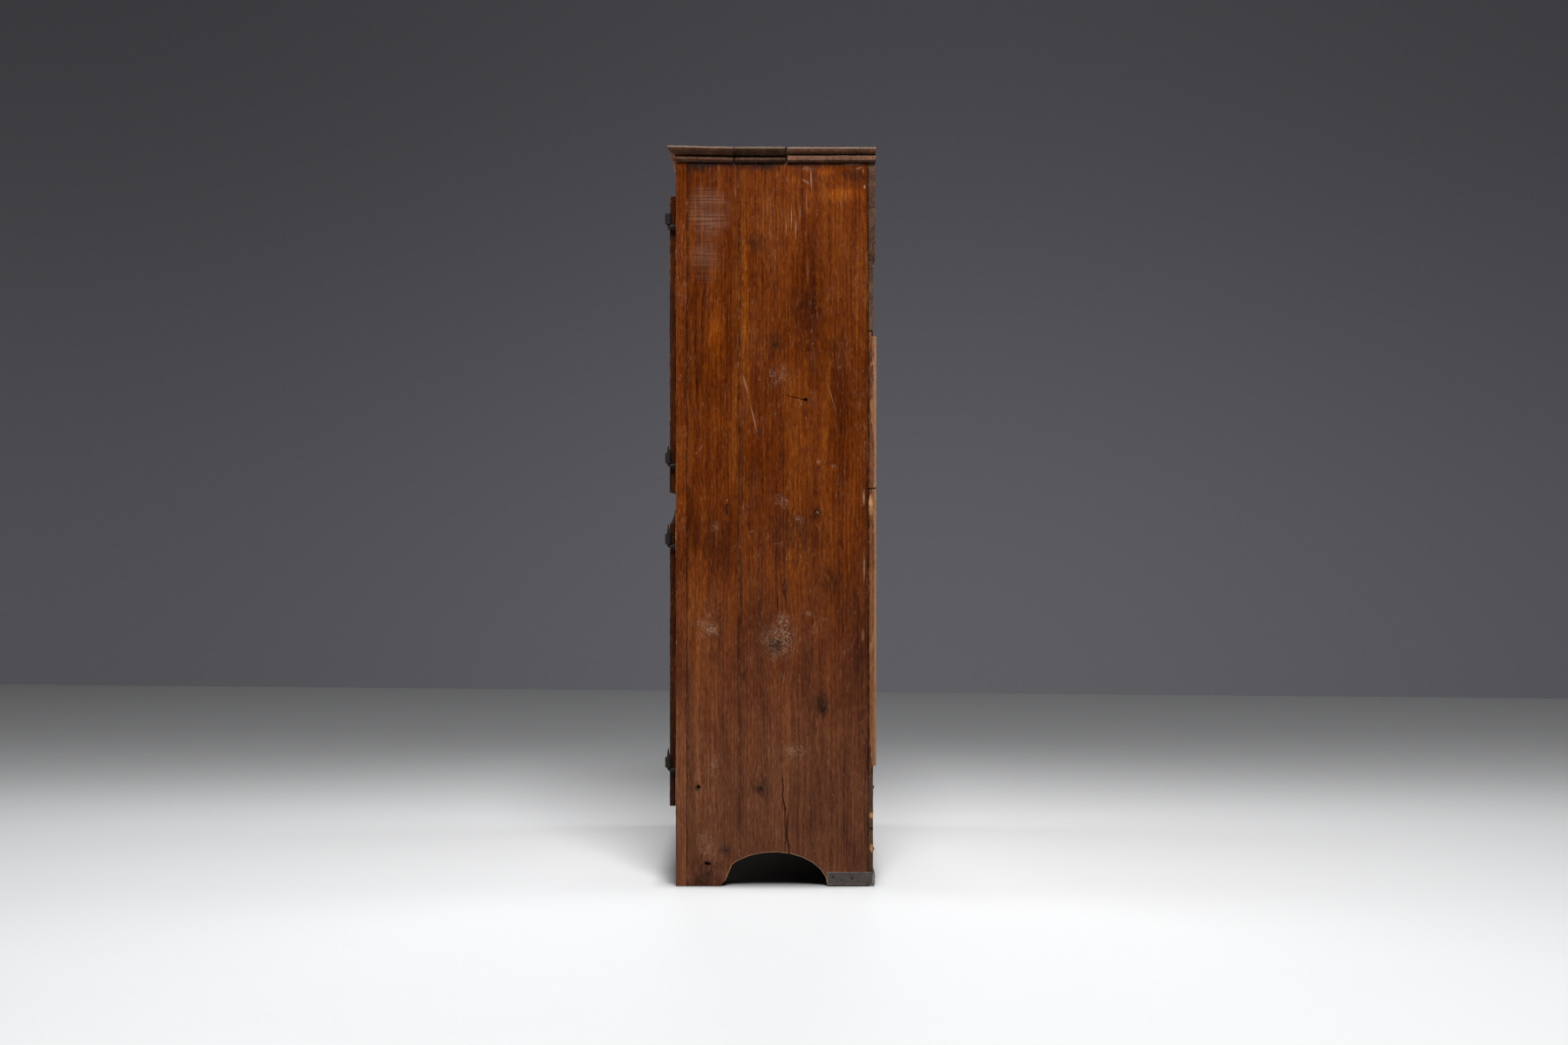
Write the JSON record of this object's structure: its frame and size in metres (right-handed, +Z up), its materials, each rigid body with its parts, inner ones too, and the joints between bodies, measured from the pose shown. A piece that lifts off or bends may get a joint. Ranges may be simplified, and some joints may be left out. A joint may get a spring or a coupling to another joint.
{
  "type": "cupboard",
  "caption": "Tall rustic wooden cupboard with boarded ends on arched feet, a moulded top, strap-hinged plank doors above and below, and turning wooden latches.",
  "frame": {"origin": "on the floor, at the middle of the bounding box's footprint", "axes": "+Z up, +X towards the cupboard's right-hand end as seen from the front, -Y out of the front"},
  "size_m": [1.06, 0.5306, 1.8],
  "materials": {
    "waxed_walnut": "waxed",
    "inside_wood": "bare",
    "raw_back_wood": "bare and weathered",
    "turned_wood": "waxed",
    "wrought_iron": "forged and worn"
  },
  "bodies": {
    "case": {"side_front_board_right": "waxed_walnut", "side_front_board_left": "waxed_walnut", "side_rear_board_right": "waxed_walnut", "side_rear_board_left": "waxed_walnut", "corner_post_right": "waxed_walnut", "corner_post_left": "waxed_walnut", "frieze_rail": "waxed_walnut", "middle_rail": "waxed_walnut", "foot_rail": "waxed_walnut", "top_front_board": "waxed_walnut", "top_middle_board": "waxed_walnut", "top_rear_board": "waxed_walnut", "case_floor": "inside_wood", "lower_shelf": "inside_wood", "dividing_shelf": "inside_wood", "upper_shelf": "inside_wood", "back_plank_top": "raw_back_wood", "back_plank_second": "raw_back_wood", "back_plank_third": "raw_back_wood", "back_board_1": "raw_back_wood", "back_board_2": "raw_back_wood", "back_board_3": "raw_back_wood", "back_plank_foot": "raw_back_wood", "foot_plate": "wrought_iron", "upper_right_bottom_pintle": "wrought_iron", "upper_right_top_pintle": "wrought_iron", "upper_left_bottom_pintle": "wrought_iron", "upper_left_top_pintle": "wrought_iron", "lower_right_bottom_pintle": "wrought_iron", "lower_right_top_pintle": "wrought_iron", "lower_left_bottom_pintle": "wrought_iron", "lower_left_top_pintle": "wrought_iron"},
    "upper_right_door": {"upper_right_hinge_board": "waxed_walnut", "upper_right_latch_board": "waxed_walnut", "upper_right_bottom_batten": "inside_wood", "upper_right_top_batten": "inside_wood", "upper_right_bottom_strap": "wrought_iron", "upper_right_top_strap": "wrought_iron"},
    "upper_left_door": {"upper_left_hinge_board": "waxed_walnut", "upper_left_latch_board": "waxed_walnut", "upper_left_bottom_batten": "inside_wood", "upper_left_top_batten": "inside_wood", "upper_left_bottom_strap": "wrought_iron", "upper_left_top_strap": "wrought_iron"},
    "lower_right_door": {"lower_right_hinge_board": "waxed_walnut", "lower_right_latch_board": "waxed_walnut", "lower_right_bottom_batten": "inside_wood", "lower_right_top_batten": "inside_wood", "lower_right_bottom_strap": "wrought_iron", "lower_right_top_strap": "wrought_iron"},
    "lower_left_door": {"lower_left_hinge_board": "waxed_walnut", "lower_left_latch_board": "waxed_walnut", "lower_left_bottom_batten": "inside_wood", "lower_left_top_batten": "inside_wood", "lower_left_bottom_strap": "wrought_iron", "lower_left_top_strap": "wrought_iron"},
    "upper_latch": {"upper_right_knob": "turned_wood", "upper_right_tongue": "turned_wood"},
    "lower_latch": {"lower_right_knob": "turned_wood", "lower_right_tongue": "turned_wood"}
  },
  "joints": [
    {"name": "upper_right_door_hinge", "type": "hinge", "parent": "case", "child": "upper_right_door", "pos_m": [0.455, -0.2452, 0.958], "axis": [0, 0, 1], "range_deg": [0, 170]},
    {"name": "upper_left_door_hinge", "type": "hinge", "parent": "case", "child": "upper_left_door", "pos_m": [-0.455, -0.2452, 0.958], "axis": [0, 0, -1], "range_deg": [0, 170]},
    {"name": "lower_right_door_hinge", "type": "hinge", "parent": "case", "child": "lower_right_door", "pos_m": [0.455, -0.2452, 0.186], "axis": [0, 0, 1], "range_deg": [0, 170]},
    {"name": "lower_left_door_hinge", "type": "hinge", "parent": "case", "child": "lower_left_door", "pos_m": [-0.455, -0.2452, 0.186], "axis": [0, 0, -1], "range_deg": [0, 170]},
    {"name": "upper_latch_turn", "type": "hinge", "parent": "upper_right_door", "child": "upper_latch", "pos_m": [0.0365, -0.243, 1.315], "axis": [0, 1, 0], "range_deg": [0, 90]},
    {"name": "lower_latch_turn", "type": "hinge", "parent": "lower_right_door", "child": "lower_latch", "pos_m": [0.0365, -0.243, 0.56], "axis": [0, 1, 0], "range_deg": [0, 90]}
  ]
}
